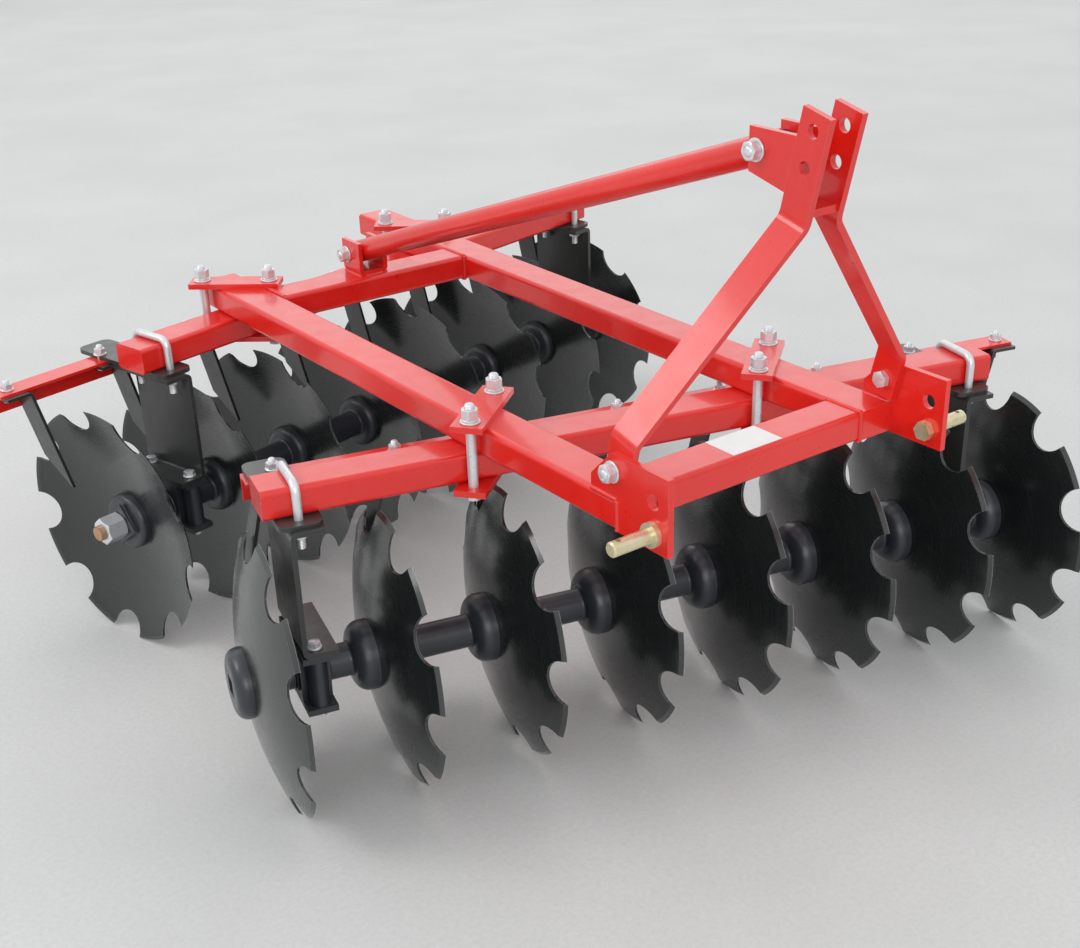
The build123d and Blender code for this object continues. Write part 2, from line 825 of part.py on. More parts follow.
def make_scrapers(gang):
    tab_top = arm_bottom - axle_height - bar_thickness
    bend = scraper_bend_places[gang.name]
    tip = bend - (tab_top - scraper_tip_above_axle) * tan(radians(scraper_lean))
    bolt_from_hub, bolt_behind = scraper_bolt(gang)
    rear_edge = bar_rears[gang.name] - bar_thickness - scraper_bar_gap
    front_edge = rear_edge - scraper_width
    with BuildPart() as scrapers:
        for hub in disc_places():
            upper_line = [
                (hub + gang.facing * tip, scraper_tip_above_axle),
                (hub + gang.facing * bend, tab_top),
                (hub + gang.facing * (bend + scraper_tab_length), tab_top),
            ]
            if gang.facing > 0:
                upper_line.reverse()
            with BuildSketch(along(gang, rear_edge)):
                bent_strip(upper_line, scraper_thickness, scraper_bend_radius)
            extrude(amount=scraper_width)
            with BuildSketch(gang.plane.offset(tab_top)):
                with Locations((hub + bolt_from_hub, bolt_behind)):
                    Circle(scraper_bolt_diameter / 2 + hole_gap)
            extrude(amount=-scraper_thickness, mode=Mode.SUBTRACT)
        with BuildSketch(across(gang, 0)):
            with BuildLine():
                Polyline(
                    (front_edge, scraper_tip_above_axle),
                    (rear_edge, scraper_tip_above_axle + scraper_tip_slant),
                    (rear_edge, scraper_tip_above_axle - scraper_thickness),
                    (front_edge, scraper_tip_above_axle - scraper_thickness),
                    close=True,
                )
            make_face()
        extrude(amount=disc_count * disc_spacing, both=True, mode=Mode.SUBTRACT)
    save(scrapers, "scrapers_" + gang.name)


def first_notch(gang, number):
    """Turn of a disc's first notch round the axle, in degrees."""
    turns = quarter_turns[gang.name]
    lead = tooth_leads[gang.name] + 90 * turns[(number - 1) % len(turns)]
    return -90 - lead + 180 / notch_count


def make_discs(gang):
    bevel_start = disc_radius - disc_bevel
    half_way = (seat_radius + disc_radius) / 2
    for number, hub in enumerate(disc_places(), start=1):

        def point(depth, radius):
            return (hub + gang.facing * depth, radius)

        with BuildPart() as disc:
            with BuildSketch(along(gang)):
                with BuildLine():
                    Line(point(0, 0), point(0, seat_radius))
                    ThreePointArc(
                        point(0, seat_radius),
                        point(dish_back(half_way), half_way),
                        point(dish_back(bevel_start), bevel_start),
                    )
                    Line(
                        point(dish_back(bevel_start), bevel_start),
                        point(dish_depth, disc_radius),
                    )
                    ThreePointArc(
                        point(dish_depth, disc_radius),
                        point(dish_face(half_way), half_way),
                        point(disc_thickness, seat_radius),
                    )
                    Line(point(disc_thickness, seat_radius), point(disc_thickness, 0))
                    Line(point(disc_thickness, 0), point(0, 0))
                make_face()
            revolve(axis=gang_axis(gang))
            with BuildSketch(across(gang, hub)):
                with PolarLocations(
                    disc_radius - notch_inset,
                    notch_count,
                    start_angle=first_notch(gang, number),
                ):
                    Circle(notch_radius)
                Rectangle(axle_square + 2 * square_gap, axle_square + 2 * square_gap)
            extrude(amount=2 * dish_depth, both=True, mode=Mode.SUBTRACT)
        save(disc, "disc_" + gang.name + "_" + str(number))


def square_bore(gang):
    """Square hole for the axle through everything on it."""
    with BuildSketch(across(gang, 0)) as bore:
        Rectangle(axle_square + 2 * square_gap, axle_square + 2 * square_gap)
    extrude(bore.sketch, amount=disc_count * disc_spacing, both=True, mode=Mode.SUBTRACT)


def make_spools(gang):
    hollow_sides = disc_places()[:-1] if gang.facing > 0 else disc_places()[1:]
    tube = spool_tube_diameter / 2
    bell = spool_bell_diameter / 2
    foot = spool_foot_diameter / 2
    foot_top = disc_thickness + spool_foot_depth
    bell_start = disc_spacing - spool_bell_depth
    with BuildPart() as spools:
        for hub in hollow_sides:

            def point(depth, radius):
                return (hub + gang.facing * depth, radius)

            with BuildSketch(along(gang)):
                with BuildLine():
                    FilletPolyline(
                        point(disc_thickness, foot),
                        point(foot_top, foot),
                        point(foot_top, tube),
                        point(bell_start, tube),
                        point(bell_start, bell),
                        point(disc_spacing, bell),
                        radius=[
                            spool_foot_round,
                            spool_neck_round,
                            spool_neck_round,
                            spool_bell_round,
                        ],
                    )
                    Polyline(
                        point(disc_spacing, bell),
                        point(disc_spacing, 0),
                        point(disc_thickness, 0),
                        point(disc_thickness, foot),
                    )
                make_face()
        revolve(axis=gang_axis(gang))
        with BuildSketch(along(gang)):
            for place in hanger_places:
                with Locations((place, journal_diameter / 2 + tube / 2)):
                    Rectangle(bearing_length + 2 * shoulder_gap, tube)
        revolve(axis=gang_axis(gang), mode=Mode.SUBTRACT)
        square_bore(gang)
    save(spools, "spools_" + gang.name)


def make_axle(gang):
    start = end_disc(gang, False) - gang.facing * (end_bell_depth - end_bell_recess_depth)
    square_end = end_disc(gang, True) + gang.facing * (disc_thickness + end_washer_depth / 2)
    outside = end_washer_depth / 2 + 2 * lock_plate_thickness + 3 * stack_gap + axle_nut_length
    with BuildPart() as axle:
        with BuildSketch(across(gang, start)):
            Rectangle(axle_square, axle_square)
        extrude(amount=square_end - start)
        with BuildSketch(across(gang, square_end)):
            Circle(thread_diameter / 2)
        extrude(amount=gang.facing * (outside + thread_out))
    save(axle, "axle_" + gang.name)


def round_cap(gang, seat, way, radius, depth, edge_round):
    """Round casting on the axle, from its seat outward, with a rounded edge."""
    with BuildSketch(along(gang)) as profile:
        with BuildLine():
            FilletPolyline(
                (seat, radius),
                (seat + way * depth, radius),
                (seat + way * depth, 0),
                radius=edge_round,
            )
            Polyline((seat + way * depth, 0), (seat, 0), (seat, radius))
        make_face()
    revolve(profile.sketch, axis=gang_axis(gang))
    square_bore(gang)


def make_end_bell(gang):
    hub = end_disc(gang, False)
    with BuildPart() as end_bell:
        round_cap(
            gang, hub, -gang.facing, spool_bell_diameter / 2, end_bell_depth, end_bell_round
        )
        with BuildSketch(across(gang, hub - gang.facing * end_bell_depth)):
            Rectangle(end_bell_recess, end_bell_recess)
        extrude(amount=gang.facing * end_bell_recess_depth, mode=Mode.SUBTRACT)
    save(end_bell, "end_bell_" + gang.name)


def make_end_washer(gang):
    seat = end_disc(gang, True) + gang.facing * disc_thickness
    with BuildPart() as end_washer:
        round_cap(
            gang, seat, gang.facing, spool_foot_diameter / 2, end_washer_depth, end_washer_round
        )
    save(end_washer, "end_washer_" + gang.name)


def make_end_nut(gang):
    washer_face = end_disc(gang, True) + gang.facing * (disc_thickness + end_washer_depth)
    step = lock_plate_thickness + stack_gap
    with BuildPart() as end_nut:
        for number in range(2):
            with BuildSketch(across(gang, washer_face + gang.facing * (stack_gap + number * step))):
                Rectangle(lock_plate_side, lock_plate_side)
                Circle(thread_diameter / 2 + square_gap, mode=Mode.SUBTRACT)
            extrude(amount=gang.facing * lock_plate_thickness)
        with BuildSketch(across(gang, washer_face + gang.facing * (stack_gap + 2 * step))):
            hexagon(axle_nut_flats)
            Circle(thread_diameter / 2 + square_gap, mode=Mode.SUBTRACT)
        extrude(amount=gang.facing * axle_nut_length)
    save(end_nut, "end_nut_" + gang.name)


for gang in gangs:
    make_hangers(gang)
    make_bearings(gang)
    make_scraper_arms(gang)
    make_scraper_bar(gang)
    make_scrapers(gang)
    make_discs(gang)
    make_spools(gang)
    make_axle(gang)
    make_end_bell(gang)
    make_end_washer(gang)
    make_end_nut(gang)

# U-bolts over the beams, down through arm and hanger
u_bolt_nut = nut_height(u_bolt_diameter)
u_bolt_top = beam_top - axle_height + u_bolt_diameter / 2 + u_bolt_gap
u_bolt_seat = hanger_top - hanger_thickness
u_bolt_low = u_bolt_seat - u_bolt_nut - u_bolt_past_nut
with BuildPart() as hanger_u_bolts:
    for gang in gangs:
        for place in hanger_places:
            with BuildLine(across(gang, place)) as u_path:
                FilletPolyline(
                    (-u_bolt_offset, u_bolt_low),
                    (-u_bolt_offset, u_bolt_top),
                    (u_bolt_offset, u_bolt_top),
                    (u_bolt_offset, u_bolt_low),
                    radius=u_bolt_diameter / 2 + tube_corner,
                )
            with BuildSketch(Plane(origin=u_path.line @ 0, z_dir=(0, 0, 1))):
                Circle(u_bolt_diameter / 2)
            sweep(path=u_path.line)
            for side in hole_sides:
                with BuildSketch(gang.plane.offset(u_bolt_seat)):
                    with Locations((place, side * u_bolt_offset)):
                        hexagon(nut_flats(u_bolt_diameter))
                extrude(amount=-u_bolt_nut)
save(hanger_u_bolts, "hanger_u_bolts")

# Bolts that hang the bearings from the hangers
with BuildPart() as bearing_bolts:
    for gang in gangs:
        for place in hanger_places:
            for side in hole_sides:
                upright_bolt(
                    gang,
                    place,
                    side * bearing_bolt_offset,
                    -bearing_barrel_radius,
                    hanger_foot + hanger_thickness,
                    bearing_bolt_diameter,
                )
save(bearing_bolts, "bearing_bolts")
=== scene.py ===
# Looks of an offset disc harrow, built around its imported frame. Metres.
# x runs to the machine's left, y to its rear, z up from the floor.

import json
import random
from math import atan2, cos, pi, radians, sin

import bmesh
import bpy
from mathutils import Matrix, Vector


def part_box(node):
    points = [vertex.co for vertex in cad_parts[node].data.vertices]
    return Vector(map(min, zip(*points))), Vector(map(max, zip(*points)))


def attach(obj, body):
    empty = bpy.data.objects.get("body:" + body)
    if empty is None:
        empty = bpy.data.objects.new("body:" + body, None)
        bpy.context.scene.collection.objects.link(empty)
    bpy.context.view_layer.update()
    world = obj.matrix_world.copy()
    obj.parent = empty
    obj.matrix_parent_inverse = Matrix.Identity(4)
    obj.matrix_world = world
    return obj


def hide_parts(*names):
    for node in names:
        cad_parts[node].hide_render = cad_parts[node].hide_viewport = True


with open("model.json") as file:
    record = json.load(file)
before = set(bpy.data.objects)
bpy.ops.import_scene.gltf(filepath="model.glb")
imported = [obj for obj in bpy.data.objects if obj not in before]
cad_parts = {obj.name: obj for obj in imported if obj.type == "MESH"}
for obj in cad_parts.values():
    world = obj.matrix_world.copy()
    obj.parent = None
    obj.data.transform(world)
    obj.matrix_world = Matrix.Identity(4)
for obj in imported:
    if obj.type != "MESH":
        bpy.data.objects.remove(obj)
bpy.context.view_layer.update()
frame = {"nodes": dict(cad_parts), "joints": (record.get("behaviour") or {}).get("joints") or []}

MM = 0.001
UP = Vector((0, 0, 1))
SIDEWAYS = Vector((1, 0, 0))
REARWARD = Vector((0, 1, 0))

# One seeded source for every small unevenness
random_seed = 41
rng = random.Random(random_seed)

# Camera: where it stands, how it is turned in degrees, the point of the picture that it was
# aimed at, and how far it sees
image_width, image_height = 1080, 948
camera_place = Vector((-1.5142, -2.2096, 1.4977))
camera_azimuth, camera_elevation, camera_roll = -38.40, 27.00, -0.63
focal_pixels = 1509.8
aim_x, aim_y = 603.5, 532.1
sensor_width = 36.0
view_distance = 200

# Vertices closer than this count as one
merge_distance = 0.02 * MM

# Edges turned by more degrees than this look sharp: on most pieces, and on weld beads
sharp_angle = 35
weld_sharp_angle = 60

# Fastener sizes as shares of the thread's diameter
head_flats = 1.5
head_height = 0.66
nut_height = 0.8
washer_outer = 2.0
spring_outer = 1.66
thread_chamfer = 0.15

# Fastener sizes that all threads share
washer_thickness = 3 * MM
thread_pitch = 2.0 * MM
thread_depth = 0.6 * MM
thread_start = 0.3 * MM
shank_bevel = 0.4 * MM

# How far a thread comes out of its nut, as a share of the nut's height
thread_end = 0.4

# Rounding at a thread's end, as shares of its chamfer: inward and along
end_inward = 0.5
end_along = 0.3

# Rim of a washer, as a share of its thickness
washer_edge = 0.25

# Face of a nut or head inside its chamfer, as a share of the flats, and the chamfer's slope
face_share = 0.475
face_slope = 0.577

# Bore of a nut, as shares of the thread's radius: its mouth, its inside and its chamfer
bore_mouth = 1.06
bore_inside = 0.98
bore_chamfer = 0.1

# Corners of round forms
bar_segments = 14
small_segments = 28
round_segments = 32
axle_segments = 36
fine_segments = 48

# Threads, and how far some of them come out of their nuts
clamp_thread = 16 * MM
clamp_thread_end = 8 * MM
scraper_thread = 12 * MM
scraper_thread_end = 7 * MM
bearing_thread = 12 * MM
mast_thread = 16 * MM
u_bolt_thread = 14 * MM

# Clamp bolts: nut as a share of the thread, spring ring under it, and end of the plain shank
clamp_nut_height = 1.0
clamp_spring = 3.5 * MM
clamp_shank_overlap = 1 * MM

# Mast bolts farther left of the frame's middle than this have their nuts on the left
nuts_left_from = 50 * MM

# U-bolts: half the width between the legs' middles, the bend, and the threads on the legs
u_bolt_half = 46 * MM
u_bolt_bend = 16 * MM
u_bolt_bend_steps = 8
u_bolt_thread_length = 30 * MM
u_bolt_thread_rows = 24
u_bolt_run_out = 1 * MM
u_bolt_washer = 2 * MM
hanger_flange = 8 * MM

# Hub places along a gang
disc_count = 8
disc_spacing = 200 * MM
disc_places = [(number - (disc_count - 1) / 2) * disc_spacing for number in range(disc_count)]

# Where a disc's ground rim starts, from the axle, and how soon it is fully ground
rim_start = 223 * MM
rim_fade = 2 * MM

# Seal collars beside the bearings: (radius, height) round the collar's section
bearing_half_length = 24 * MM
collar_profile = [
    (25.6 * MM, 0),
    (32 * MM, 0),
    (33 * MM, 1.2 * MM),
    (32 * MM, 3.6 * MM),
    (27 * MM, 4.3 * MM),
    (25.6 * MM, 3.8 * MM),
]

# Scraper bolts: from the hub and behind the axle, and the plates they go through
scraper_bolt_from_hub = {"front": 108 * MM, "rear": 129 * MM}
scraper_bolt_behind = {"front": 146.5 * MM, "rear": 124.5 * MM}
arm_thickness = 8 * MM
bar_thickness = 5 * MM
scraper_thickness = 6 * MM
arm_place = 600 * MM
arm_half_width = 34.5 * MM

# Axle ends: two lock plates on the end washer, then a long nut, with turns in degrees
end_washer_face = 718 * MM
plate_size = 60 * MM
plate_thickness = 5 * MM
plate_gap = 0.3 * MM
plate_edge = 0.8 * MM
plate_turns = (33, 38)
axle_nut_flats = 46 * MM
axle_nut_height = 40 * MM
axle_nut_turn = 12
axle_thread_radius = 14.6 * MM
axle_thread_bite = 0.3 * MM
axle_thread_depth = 1 * MM
axle_thread_length = 50.3 * MM
axle_thread_pitch = 2.5 * MM
axle_chamfer = 0.035

# Weld beads: height, width over height, length of a ripple, corners round and along
weld_radius = 3.2 * MM
weld_width = 1.25
weld_ripple = 2.6 * MM
weld_segments = 8
steps_per_ripple = 4

# Unevenness of a bead: ripples and drift, as shares of its height, and how the drift wanders
ripple_height = 0.10
drift_height = 0.25
drift_step = 0.15
drift_kept = 0.85

# A bead starts at this share of its height, and grows to all of it by this slope
bead_start = 0.35
bead_slope = 1.5

# What the welds go by
hitch_plate_thickness = 10 * MM
clevis_bend = 12 * MM
clevis_weld_inset = 3 * MM

# Blank plate stuck on the front cross tube: its middle and its size
label_middle = Vector((-85.3 * MM, -741.4 * MM, 0))
label_size = (98 * MM, 62 * MM)
label_thickness = 0.4 * MM
label_edge = 0.1 * MM

# Surroundings: the floor's side, the sky's colours at the horizon and high up, and soft lamps
floor_size = 300
horizon_color = (0.56, 0.57, 0.57)
upper_color = (0.94, 0.96, 0.98)
upper_start = 0.45
sky_strength = 0.94
softboxes = [
    # Name, place, aim, size, and power in watts
    ("back_softbox", (5.2, 7.0, 4.6), (0, 0, 0.5), (9.0, 5.0), 75),
    ("key_softbox", (-6.0, -10.0, 5.6), (0, 0, 0.4), (8.0, 5.5), 360),
    ("mast_softbox", (-5.7, 2.8, 5.4), (-0.23, -0.82, 0.8), (3.2, 2.6), 130),
]


class Gang:
    """A gang's own frame: a runs along its axle, b to the rear, z up from the floor."""

    def __init__(self, name, facing):
        joint = next(j for j in frame["joints"] if j["name"] == name + "_gang_spin")
        self.name = name
        self.body = name + "_gang"
        self.facing = facing
        self.axle = Vector(joint["pos_m"])
        self.along = Vector(joint["axis"]).normalized()
        self.rear = Vector((-self.along.y, self.along.x, 0))

    def point(self, a, b, z):
        """Point at a, b and z."""
        place = self.axle + self.along * a + self.rear * b
        return Vector((place.x, place.y, z))

    def local(self, place):
        """a, b and z of a point."""
        offset = place - self.axle
        return offset.dot(self.along), offset.dot(self.rear), place.z


gangs = [Gang("front", 1), Gang("rear", -1)]

# Places that come from the frame
frame_middle = (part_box("frame_rail_right")[0].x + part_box("frame_rail_left")[1].x) / 2
hanger_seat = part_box("hangers_front")[1].z - hanger_flange


def solids(node):
    """Lowest and highest corner of each separate solid in a CAD node."""
    mesh = bmesh.new()
    mesh.from_mesh(frame["nodes"][node].data)
    bmesh.ops.remove_doubles(mesh, verts=mesh.verts, dist=merge_distance)
    boxes = []
    for first in mesh.verts:
        if first.tag:
            continue
        first.tag = True
        found, waiting = [], [first]
        while waiting:
            vert = waiting.pop()
            found.append(vert.co.copy())
            for edge in vert.link_edges:
                other = edge.other_vert(vert)
                if not other.tag:
                    other.tag = True
                    waiting.append(other)
        low = Vector([min(c[i] for c in found) for i in range(3)])
        high = Vector([max(c[i] for c in found) for i in range(3)])
        boxes.append((low, high))
    mesh.free()
    return sorted(boxes, key=lambda box: [round(v, 4) for v in box[0]])


# Shapes, each added to a bmesh in a frame of its own with z along its axis


def any_turn():
    """Random turn of a hexagon, in degrees."""
    return rng.uniform(0, 60)


def facing_frame(place, direction, turn=0.0):
    """Matrix at a place with its z along a direction, turned about it by degrees."""
    turned = direction.to_track_quat("Z", "Y").to_matrix().to_4x4()
    return Matrix.Translation(place) @ turned @ Matrix.Rotation(radians(turn), 4, "Z")


def lifted(matrix, height):
    """The same frame, farther out along its z."""
    return matrix @ Matrix.Translation((0, 0, height))


def skin(mesh, rings, looped=False):
    """Faces between rings of the same count. Open ends are closed by a fan."""
    loops = [[mesh.verts.new(co) for co in ring] for ring in rings]
    count = len(loops[0])
    pairs = list(zip(loops, loops[1:]))
    if looped:
        pairs.append((loops[-1], loops[0]))
    for lower, upper in pairs:
        for i in range(count):
            j = (i + 1) % count
            mesh.faces.new((lower[i], lower[j], upper[j], upper[i]))
    if not looped:
        for loop, ring, way in ((loops[0], rings[0], -1), (loops[-1], rings[-1], 1)):
            middle = mesh.verts.new(sum(ring, Vector()) / count)
            for i in range(count):
                j = (i + 1) % count
                corners = (loop[i], loop[j], middle) if way > 0 else (loop[j], loop[i], middle)
                mesh.faces.new(corners)


def lathe(mesh, matrix, profile, segments=round_segments, looped=False):
    """Round form from (radius, height) pairs."""
    rings = []
    for radius, height in profile:
        turns = [2 * pi * i / segments for i in range(segments)]
        rings.append([matrix @ Vector((radius * cos(t), radius * sin(t), height)) for t in turns])
    skin(mesh, rings, looped)


def hexagon_block(mesh, matrix, flats, height, bore=0.0, both_ends=True):
    """Nut or bolt head with its corners turned off at 30 degrees."""
    face_radius = flats * face_share
    turns = [2 * pi * i / fine_segments for i in range(fine_segments)]

    def side_radius(turn):
        return flats / 2 / cos((turn + pi / 6) % (pi / 3) - pi / 6)

    def ring(radius_of, height_of):
        return [
            matrix @ Vector((radius_of(t) * cos(t), radius_of(t) * sin(t), height_of(t)))
            for t in turns
        ]

    def fall(turn):
        return (side_radius(turn) - face_radius) * face_slope

    rings = []
    if both_ends:
        rings.append(ring(lambda t: face_radius, lambda t: 0.0))
        rings.append(ring(side_radius, fall))
    else:
        rings.append(ring(side_radius, lambda t: 0.0))
    rings.append(ring(side_radius, lambda t: height - fall(t)))
    rings.append(ring(lambda t: face_radius, lambda t: height))
    if bore:
        mouth, inside, depth = bore * bore_mouth, bore * bore_inside, bore * bore_chamfer
        rings.append(ring(lambda t: mouth, lambda t: height))
        rings.append(ring(lambda t: inside, lambda t: height - depth))
        rings.append(ring(lambda t: inside, lambda t: depth))
        rings.append(ring(lambda t: mouth, lambda t: 0.0))
    skin(mesh, rings, looped=bool(bore))


def thread_profile(
    radius, start, end, pitch=thread_pitch, depth=thread_depth, chamfered=thread_chamfer
):
    """Ridges of a thread as (radius, height) pairs, with a chamfered end."""
    chamfer = min(chamfered * 2 * radius, (end - start) / 2)
    last = end - chamfer
    count = max(1, round((last - start) / pitch))
    step = (last - start) / count
    pairs = []
    for i in range(count):
        pairs.append((radius - depth, start + i * step))
        pairs.append((radius, start + (i + 0.5) * step))
    pairs.append((radius - depth, last))
    pairs.append((radius - depth - end_inward * chamfer, end - end_along * chamfer))
    pairs.append((radius - depth - chamfer, end))
    return pairs


def washer(mesh, matrix, thread, width=washer_outer, thickness=washer_thickness):
    """Flat ring for a thread, with its width as a share of the thread and chamfered rims."""
    edge = washer_edge * thickness
    hole, outer = thread / 2, thread * width / 2
    profile = [
        (hole, 0),
        (outer - edge, 0),
        (outer, edge),
        (outer, thickness - edge),
        (outer - edge, thickness),
        (hole, thickness),
    ]
    lathe(mesh, matrix, profile, looped=True)


def sweep(mesh, path, flat_normal, radii):
    """Round bar along a path that lies in one plane."""
    rings = []
    for i, place in enumerate(path):
        before = path[max(i - 1, 0)]
        after = path[min(i + 1, len(path) - 1)]
        tangent = (after - before).normalized()
        side = flat_normal.cross(tangent).normalized()
        ring = []
        for k in range(bar_segments):
            turn = 2 * pi * k / bar_segments
            ring.append(place + (side * cos(turn) + flat_normal * sin(turn)) * radii[i])
        rings.append(ring)
    skin(mesh, rings)


def weld_bead(mesh, start, end, normal):
    """Rippled bead between two points, slightly uneven along its length."""
    start, end = Vector(start), Vector(end)
    length = (end - start).length
    steps = max(2, int(length / weld_ripple * steps_per_ripple))
    line = (end - start).normalized()
    side = line.cross(normal).normalized()
    rings = []
    drift = 0.0
    for i in range(steps + 1):
        along = i / steps * length
        drift = drift_kept * drift + rng.uniform(-drift_step, drift_step)
        ripple = 1 + ripple_height * abs(sin(pi * along / weld_ripple)) + drift_height * drift
        taper = min(1.0, bead_start + bead_slope * min(along, length - along) / weld_radius)
        size = weld_radius * ripple * taper
        ring = []
        for k in range(weld_segments):
            turn = 2 * pi * k / weld_segments
            offset = side * cos(turn) * weld_width + normal * sin(turn)
            ring.append(start + line * along + offset * size)
        rings.append(ring)
    skin(mesh, rings)


def box_plate(mesh, matrix, size, edge):
    """Flat plate with chamfered rims."""
    width, depth, thickness = size
    rings = []
    for inset, height in ((edge, 0), (0, edge), (0, thickness - edge), (edge, thickness)):
        corners = []
        x, y = width / 2 - inset, depth / 2 - inset
        for cx, cy in ((-x, -y), (x, -y), (x, y), (-x, y)):
            corners.append(matrix @ Vector((cx, cy, height)))
        rings.append(corners)
    skin(mesh, rings)


def piece(name, mesh, body, material, sharp=sharp_angle, replaced=()):
    """Turns a bmesh into an object that rides on a body."""
    bmesh.ops.recalc_face_normals(mesh, faces=mesh.faces)
    data = bpy.data.meshes.new(name)
    mesh.to_mesh(data)
    mesh.free()
    data.polygons.foreach_set("use_smooth", [True] * len(data.polygons))
    data.set_sharp_from_angle(angle=radians(sharp))
    data.materials.append(material)
    made = bpy.data.objects.new(name, data)
    bpy.context.scene.collection.objects.link(made)
    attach(made, body)
    if replaced:
        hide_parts(*replaced)


# Materials


class Nodes:
    """Short way to add and join shader nodes. A value is a number, a colour or a socket."""

    def __init__(self, name):
        self.material = bpy.data.materials.new(name)
        self.material.use_nodes = True
        self.tree = self.material.node_tree
        self.tree.nodes.clear()
        coordinates = self.add("ShaderNodeTexCoord")
        self.place = coordinates.outputs["Object"]

    def add(self, kind, settings=(), **sockets):
        """Node with its settings and the values of its sockets."""
        node = self.tree.nodes.new(kind)
        for key, value in dict(settings).items():
            setattr(node, key, value)
        for key, value in sockets.items():
            self.set(node.inputs[key.replace("_", " ")], value)
        return node

    def set(self, socket, value):
        """Joins a socket to another, or gives it a value."""
        if isinstance(value, bpy.types.NodeSocket):
            self.tree.links.new(value, socket)
        else:
            socket.default_value = value

    def math(self, operation, a, b=0.0, clamp=False):
        """Two values added, multiplied and so on."""
        node = self.tree.nodes.new("ShaderNodeMath")
        node.operation = operation
        node.use_clamp = clamp
        self.set(node.inputs[0], a)
        self.set(node.inputs[1], b)
        return node.outputs[0]

    def noise(self, scale, detail=3.0, roughness=0.55, place=None):
        """Cloudy value from 0 to 1, mostly between 0.3 and 0.7."""
        node = self.add(
            "ShaderNodeTexNoise",
            Vector=place or self.place,
            Scale=scale,
            Detail=detail,
            Roughness=roughness,
        )
        return node.outputs["Fac"]

    def stretch(self, scale):
        """Coordinates stretched by a factor on each axis."""
        return self.add("ShaderNodeMapping", Vector=self.place, Scale=scale).outputs[0]

    def from_axle(self, gang):
        """Distance from a gang's axle, at rest."""
        turn = Matrix.Rotation(-atan2(gang.along.y, gang.along.x), 3, "Z")
        level = self.add(
            "ShaderNodeMapping",
            Vector=self.place,
            Rotation=turn.to_euler(),
            Location=turn @ -gang.axle,
        )
        square = self.tree.nodes.new("ShaderNodeVectorMath")
        square.operation = "MULTIPLY"
        self.set(square.inputs[0], level.outputs[0])
        square.inputs[1].default_value = (0, 1, 1)
        radius = self.tree.nodes.new("ShaderNodeVectorMath")
        radius.operation = "LENGTH"
        self.set(radius.inputs[0], square.outputs[0])
        return radius.outputs["Value"]

    def rings(self, radius, scale):
        """Noise that changes along the radius only."""
        along_radius = self.add("ShaderNodeCombineXYZ", X=radius)
        return self.noise(scale, roughness=0.6, place=along_radius.outputs[0])

    def span(self, value, low, high, to_low=0.0, to_high=1.0):
        """Value stretched from one range to another, and held at its ends."""
        node = self.add(
            "ShaderNodeMapRange",
            Value=value,
            From_Min=low,
            From_Max=high,
            To_Min=to_low,
            To_Max=to_high,
        )
        return node.outputs[0]

    def roughness(self, low, high, scale, detail=3.0, fineness=0.55):
        """Roughness that wanders between two values."""
        return self.span(self.noise(scale, detail, fineness), 0.3, 0.7, low, high)

    def dust(self, patches, low, high, least, most):
        """Share of dust on faces that look up, in patches."""
        return self.math("MULTIPLY", self.upward(), self.span(patches, low, high, least, most))

    def mix(self, share, first, second):
        """First colour where the share is 0, second one where it is 1."""
        node = self.tree.nodes.new("ShaderNodeMix")
        node.data_type = "RGBA"
        self.set(node.inputs["Factor"], share)
        self.set(node.inputs["A"], first)
        self.set(node.inputs["B"], second)
        return node.outputs["Result"]

    def edges(self, radius):
        """0 on flat surfaces and 1 on sharp edges, by how far a rounded normal leans."""
        rounded = self.add("ShaderNodeBevel", {"samples": 4}, Radius=radius)
        straight = self.add("ShaderNodeNewGeometry")
        dot = self.tree.nodes.new("ShaderNodeVectorMath")
        dot.operation = "DOT_PRODUCT"
        self.tree.links.new(rounded.outputs[0], dot.inputs[0])
        self.tree.links.new(straight.outputs["Normal"], dot.inputs[1])
        return self.span(dot.outputs["Value"], 0.99, 0.80)

    def upward(self):
        """1 on faces that look up, and 0 on steep ones."""
        normal = self.add("ShaderNodeNewGeometry").outputs["Normal"]
        parts = self.add("ShaderNodeSeparateXYZ", Vector=normal)
        return self.span(parts.outputs["Z"], 0.5, 0.95)

    def bump(self, height, distance, strength=1.0, before=None):
        """Normal of a bumpy surface, on top of the bumps before it."""
        node = self.add("ShaderNodeBump", Height=height, Distance=distance, Strength=strength)
        if before is not None:
            self.tree.links.new(before, node.inputs["Normal"])
        return node.outputs[0]

    def surface(self, color, roughness, normal=None, **constants):
        """Finished material. Constants are sockets that are the same all over."""
        shader = self.tree.nodes.new("ShaderNodeBsdfPrincipled")
        self.set(shader.inputs["Base Color"], color)
        self.set(shader.inputs["Roughness"], roughness)
        if normal is not None:
            self.tree.links.new(normal, shader.inputs["Normal"])
        for key, value in constants.items():
            shader.inputs[key.replace("_", " ")].default_value = value
        output = self.tree.nodes.new("ShaderNodeOutputMaterial")
        self.tree.links.new(shader.outputs[0], output.inputs["Surface"])
        return self.material


def rgb(red, green, blue):
    """Opaque colour in linear light."""
    return (red, green, blue, 1.0)


